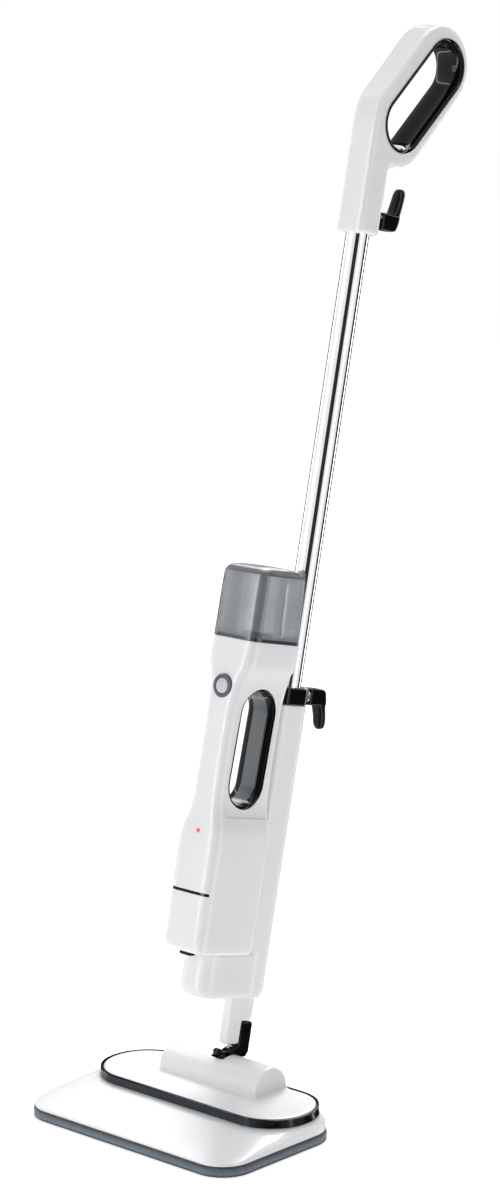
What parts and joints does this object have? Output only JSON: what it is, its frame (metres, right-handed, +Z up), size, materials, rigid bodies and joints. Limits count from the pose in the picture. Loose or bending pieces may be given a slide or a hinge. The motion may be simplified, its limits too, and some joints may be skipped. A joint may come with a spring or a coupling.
{
  "type": "steam mop",
  "caption": "Upright steam mop with a padded head on a two-way swivel, lift-off steam unit with a clear tank, chrome pole, loop handle and cord hooks.",
  "frame": {"origin": "centre of the mop pad's underside, on the floor", "axes": "+Z up, +Y to the rear, where the handle leans, +X to the side; X = 0 is the plane of symmetry"},
  "size_m": [0.294, 0.5295, 1.1276],
  "materials": {
    "white": "warm white gloss",
    "black": "black gloss",
    "slate": "slate satin",
    "pad": "slate microfibre",
    "chrome": "polished",
    "steel": "plain",
    "smoke": "smoky clear",
    "grey": "light grey",
    "red": "clear red",
    "aluminium": "cast",
    "brass": "machined",
    "rubber": "matt",
    "silicone": "translucent silicone",
    "board": "circuit board"
  },
  "bodies": {
    "head": {"mop_pad": "pad", "sole_plate": "steel", "base_shell": "white", "trim_ring": "slate", "top_cover": "white", "bearing_block_left": "black", "bearing_block_right": "black", "steam_distributor": "grey", "pitch_pin": "steel"},
    "swivel": {"pitch_barrel": "black", "swivel_yoke": "black", "roll_pin": "steel"},
    "pole": {"neck": "white", "steam_pipe": "brass", "spine_left": "white", "spine_right": "white", "spine_screw_1": "steel", "spine_screw_2": "steel", "pole_sleeve": "grey", "dock_socket": "grey", "dock_seal": "silicone", "hook_collar": "black", "lower_hook_washer": "steel", "pole_tube": "chrome", "handle_left": "white", "handle_right": "white", "handle_screw_1": "steel", "handle_screw_2": "steel", "handle_liner": "black", "upper_hook_washer": "steel", "lower_hook_screw": "steel", "upper_hook_screw": "steel"},
    "lower_hook": {"lower_hook": "black"},
    "upper_hook": {"upper_hook": "black"},
    "unit": {"unit_left": "white", "unit_right": "white", "unit_screw_1": "steel", "unit_screw_2": "steel", "unit_screw_3": "steel", "slot_liner": "black", "button_bezel": "slate", "led_lens": "red", "slit_trim": "black", "boiler": "aluminium", "thermostat": "steel", "circuit_board": "board", "pump": "black", "water_hose": "silicone", "outlet_spout": "brass", "cord_gland": "rubber"},
    "button": {"power_button": "grey"},
    "latch": {"unit_latch": "black"},
    "tank": {"water_tank": "smoke"},
    "cap": {"valve_cap": "black"}
  },
  "joints": [
    {"name": "head_pitch", "type": "hinge", "parent": "head", "child": "swivel", "pos_m": [0, 0.0675, 0.0378], "axis": [-1, 0, 0], "range_deg": [-12.8, 45]},
    {"name": "head_roll", "type": "hinge", "parent": "swivel", "child": "pole", "pos_m": [0, 0.08983, 0.0801], "axis": [0, 0.9751, -0.2215], "range_deg": [-50, 50]},
    {"name": "lower_hook_turn", "type": "hinge", "parent": "pole", "child": "lower_hook", "pos_m": [0, 0.20438, 0.42633], "axis": [0, 0.9751, -0.2215], "range_deg": [0, 180]},
    {"name": "upper_hook_turn", "type": "hinge", "parent": "pole", "child": "upper_hook", "pos_m": [0, 0.31737, 0.92366], "axis": [0, 0.9751, -0.2215], "range_deg": [0, 180]},
    {"name": "unit_lift", "type": "slide", "parent": "pole", "child": "unit", "axis": [0, 0.2215, 0.9751], "range_m": [0, 0.06]},
    {"name": "button_press", "type": "slide", "parent": "unit", "child": "button", "axis": [0, 0.9751, -0.2215], "range_m": [0, 0.002], "stiffness_N_per_m": 1000, "springref_m": -0.001},
    {"name": "latch_push", "type": "slide", "parent": "unit", "child": "latch", "axis": [0, 0.2215, 0.9751], "range_m": [0, 0.004], "stiffness_N_per_m": 500, "springref_m": -0.002},
    {"name": "tank_lift", "type": "slide", "parent": "unit", "child": "tank", "axis": [0, 0.2215, 0.9751], "range_m": [0, 0.05]},
    {"name": "cap_turn", "type": "hinge", "parent": "tank", "child": "cap", "pos_m": [0, 0.11972, 0.50504], "axis": [0, 0.2215, 0.9751], "range_deg": [0, 90]}
  ]
}
